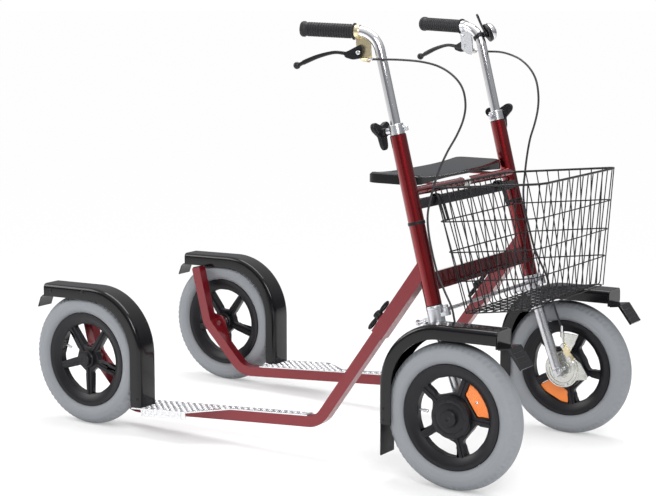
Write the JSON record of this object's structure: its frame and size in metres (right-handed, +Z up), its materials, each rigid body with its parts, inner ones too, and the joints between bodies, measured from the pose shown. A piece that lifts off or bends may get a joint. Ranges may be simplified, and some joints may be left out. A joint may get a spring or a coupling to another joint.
{
  "type": "four-wheeled kick scooter",
  "caption": "Four-wheeled kick scooter with two footboards, linked steering columns, drum brakes, a seat and a wire basket.",
  "frame": {"origin": "on the ground, midway between the two ends and between the two sides", "axes": "+X forward, +Y to the left, +Z up"},
  "size_m": [1.3265, 0.611, 0.9805],
  "materials": {
    "red_paint": "metallic dark red lacquer",
    "bush_plastic": "moulded",
    "seat_plastic": "glossy black moulding",
    "black_paint": "black powder coat",
    "black_wire": "black dipped wire",
    "tread_plate": "raised tread pattern",
    "fender_plastic": "glossy black moulding",
    "zinc_steel": "bright zinc plate",
    "rim_plastic": "satin black moulding",
    "grey_tyre": "grey puncture-proof tread",
    "bearing_steel": "ground steel",
    "cable_cover": "black cable sheath",
    "amber_plastic": "amber reflector",
    "chrome_tube": "bright chrome",
    "grip_rubber": "ribbed black rubber",
    "yellow_zinc": "yellow zinc plate",
    "black_lever": "black lacquer",
    "knob_plastic": "moulded"
  },
  "bodies": {
    "frame": {"head_tube_r": "red_paint", "head_tube_l": "red_paint", "cross_members": "red_paint", "sleeve_r": "red_paint", "sleeve_l": "red_paint", "head_bushes": "bush_plastic", "seat": "seat_plastic", "basket_carrier": "black_paint", "basket_front": "black_wire", "basket_back": "black_wire", "basket_left": "black_wire", "basket_right": "black_wire", "basket_floor": "black_wire"},
    "rail_r": {"rail_r": "red_paint", "footboard_r": "tread_plate", "rear_fender_r": "fender_plastic", "rear_axle_r": "zinc_steel"},
    "rear_wheel_r": {"rear_rim_r": "rim_plastic", "rear_tyre_r": "grey_tyre", "rear_bearings_r": "bearing_steel"},
    "column_r": {"fork_r": "zinc_steel", "front_fender_r": "fender_plastic", "brake_plate_r": "zinc_steel", "brake_cable_r": "cable_cover"},
    "front_wheel_r": {"front_rim_r": "rim_plastic", "front_tyre_r": "grey_tyre", "reflector_r": "amber_plastic", "front_bearings_r": "bearing_steel"},
    "handle_r": {"handle_tube_r": "chrome_tube", "grip_r": "grip_rubber", "lever_bracket_r": "yellow_zinc"},
    "brake_lever_r": {"brake_lever_r": "black_lever"},
    "brake_arm_r": {"brake_arm_r": "yellow_zinc"},
    "clamp_knob_r": {"clamp_knob_r": "knob_plastic"},
    "sleeve_knob_r": {"sleeve_knob_r": "knob_plastic"},
    "rail_l": {"rail_l": "red_paint", "footboard_l": "tread_plate", "rear_fender_l": "fender_plastic", "rear_axle_l": "zinc_steel"},
    "rear_wheel_l": {"rear_rim_l": "rim_plastic", "rear_tyre_l": "grey_tyre", "rear_bearings_l": "bearing_steel"},
    "column_l": {"fork_l": "zinc_steel", "front_fender_l": "fender_plastic", "brake_plate_l": "zinc_steel", "brake_cable_l": "cable_cover"},
    "front_wheel_l": {"front_rim_l": "rim_plastic", "front_tyre_l": "grey_tyre", "reflector_l": "amber_plastic", "front_bearings_l": "bearing_steel"},
    "handle_l": {"handle_tube_l": "chrome_tube", "grip_l": "grip_rubber", "lever_bracket_l": "yellow_zinc", "bell": "chrome_tube"},
    "brake_lever_l": {"brake_lever_l": "black_lever"},
    "brake_arm_l": {"brake_arm_l": "yellow_zinc"},
    "clamp_knob_l": {"clamp_knob_l": "knob_plastic"},
    "sleeve_knob_l": {"sleeve_knob_l": "knob_plastic"},
    "tie_rod": {"tie_rod": "zinc_steel"},
    "bell_lever": {"bell_lever": "black_lever"}
  },
  "joints": [
    {"name": "rail_slide_r", "type": "slide", "parent": "frame", "child": "rail_r", "axis": [0.5807, 0, 0.8141], "range_m": [0, 0.05]},
    {"name": "rear_wheel_spin_r", "type": "hinge", "parent": "rail_r", "child": "rear_wheel_r", "pos_m": [-0.50475, -0.275, 0.1585], "axis": [0, 1, 0], "continuous": true},
    {"name": "steer_r", "type": "hinge", "parent": "frame", "child": "column_r", "pos_m": [0.41525, -0.226, 0.379], "axis": [-0.2487, 0, 0.9686], "range_deg": [-25, 25]},
    {"name": "front_wheel_spin_r", "type": "hinge", "parent": "column_r", "child": "front_wheel_r", "pos_m": [0.49525, -0.275, 0.1585], "axis": [0, 1, 0], "continuous": true},
    {"name": "handle_height_r", "type": "slide", "parent": "column_r", "child": "handle_r", "axis": [-0.2487, 0, 0.9686], "range_m": [-0.06, 0.08], "deforming": ["brake_cable_r"]},
    {"name": "brake_lever_pull_r", "type": "hinge", "parent": "handle_r", "child": "brake_lever_r", "pos_m": [0.2325, -0.23531, 0.90596], "axis": [-0.1923, 0.9801, -0.0494], "range_deg": [0, 20], "stiffness_Nm_per_rad": 1, "springref_deg": -20.05},
    {"name": "brake_arm_turn_r", "type": "hinge", "parent": "column_r", "child": "brake_arm_r", "pos_m": [0.51925, -0.2385, 0.1885], "axis": [0, 1, 0], "range_deg": [0, 12]},
    {"name": "clamp_knob_turn_r", "type": "hinge", "parent": "column_r", "child": "clamp_knob_r", "pos_m": [0.32105, -0.226, 0.7459], "axis": [-0.9686, 0, -0.2487], "range_deg": [0, 180]},
    {"name": "sleeve_knob_turn_r", "type": "hinge", "parent": "frame", "child": "sleeve_knob_r", "pos_m": [0.30018, -0.226, 0.32579], "axis": [-0.8141, 0, 0.5807], "range_deg": [0, 180]},
    {"name": "rail_slide_l", "type": "slide", "parent": "frame", "child": "rail_l", "axis": [0.5807, 0, 0.8141], "range_m": [0, 0.05]},
    {"name": "rear_wheel_spin_l", "type": "hinge", "parent": "rail_l", "child": "rear_wheel_l", "pos_m": [-0.50475, 0.275, 0.1585], "axis": [0, 1, 0], "continuous": true},
    {"name": "steer_l", "type": "hinge", "parent": "frame", "child": "column_l", "pos_m": [0.41525, 0.226, 0.379], "axis": [-0.2487, 0, 0.9686], "range_deg": [-25, 25]},
    {"name": "front_wheel_spin_l", "type": "hinge", "parent": "column_l", "child": "front_wheel_l", "pos_m": [0.49525, 0.275, 0.1585], "axis": [0, 1, 0], "continuous": true},
    {"name": "handle_height_l", "type": "slide", "parent": "column_l", "child": "handle_l", "axis": [-0.2487, 0, 0.9686], "range_m": [-0.06, 0.08], "deforming": ["brake_cable_l"]},
    {"name": "brake_lever_pull_l", "type": "hinge", "parent": "handle_l", "child": "brake_lever_l", "pos_m": [0.2325, 0.23531, 0.90596], "axis": [0.1923, 0.9801, 0.0494], "range_deg": [0, 20], "stiffness_Nm_per_rad": 1, "springref_deg": -20.05},
    {"name": "brake_arm_turn_l", "type": "hinge", "parent": "column_l", "child": "brake_arm_l", "pos_m": [0.51925, 0.2385, 0.1885], "axis": [0, 1, 0], "range_deg": [0, 12]},
    {"name": "clamp_knob_turn_l", "type": "hinge", "parent": "column_l", "child": "clamp_knob_l", "pos_m": [0.32105, 0.226, 0.7459], "axis": [-0.2507, 0.9659, -0.0644], "range_deg": [0, 180]},
    {"name": "sleeve_knob_turn_l", "type": "hinge", "parent": "frame", "child": "sleeve_knob_l", "pos_m": [0.30018, 0.226, 0.32579], "axis": [-0.8141, 0, 0.5807], "range_deg": [0, 180]},
    {"name": "tie_rod_turn", "type": "hinge", "parent": "column_r", "child": "tie_rod", "pos_m": [0.4459, -0.226, 0.37221], "axis": [-0.2487, 0, 0.9686], "range_deg": [-25, 25]},
    {"name": "bell_lever_press", "type": "hinge", "parent": "handle_l", "child": "bell_lever", "pos_m": [0.27132, 0.22662, 0.92721], "axis": [0.666, 0.6309, 0.398], "range_deg": [0, 25], "stiffness_Nm_per_rad": 0.05, "springref_deg": -22.92}
  ],
  "couplings": [
    {"joint": "brake_arm_turn_r", "follows": "brake_lever_pull_r", "ratio": 0.6},
    {"joint": "brake_arm_turn_l", "follows": "brake_lever_pull_l", "ratio": 0.6},
    {"joint": "steer_l", "follows": "steer_r", "ratio": 1},
    {"joint": "tie_rod_turn", "follows": "steer_r", "ratio": -1}
  ]
}
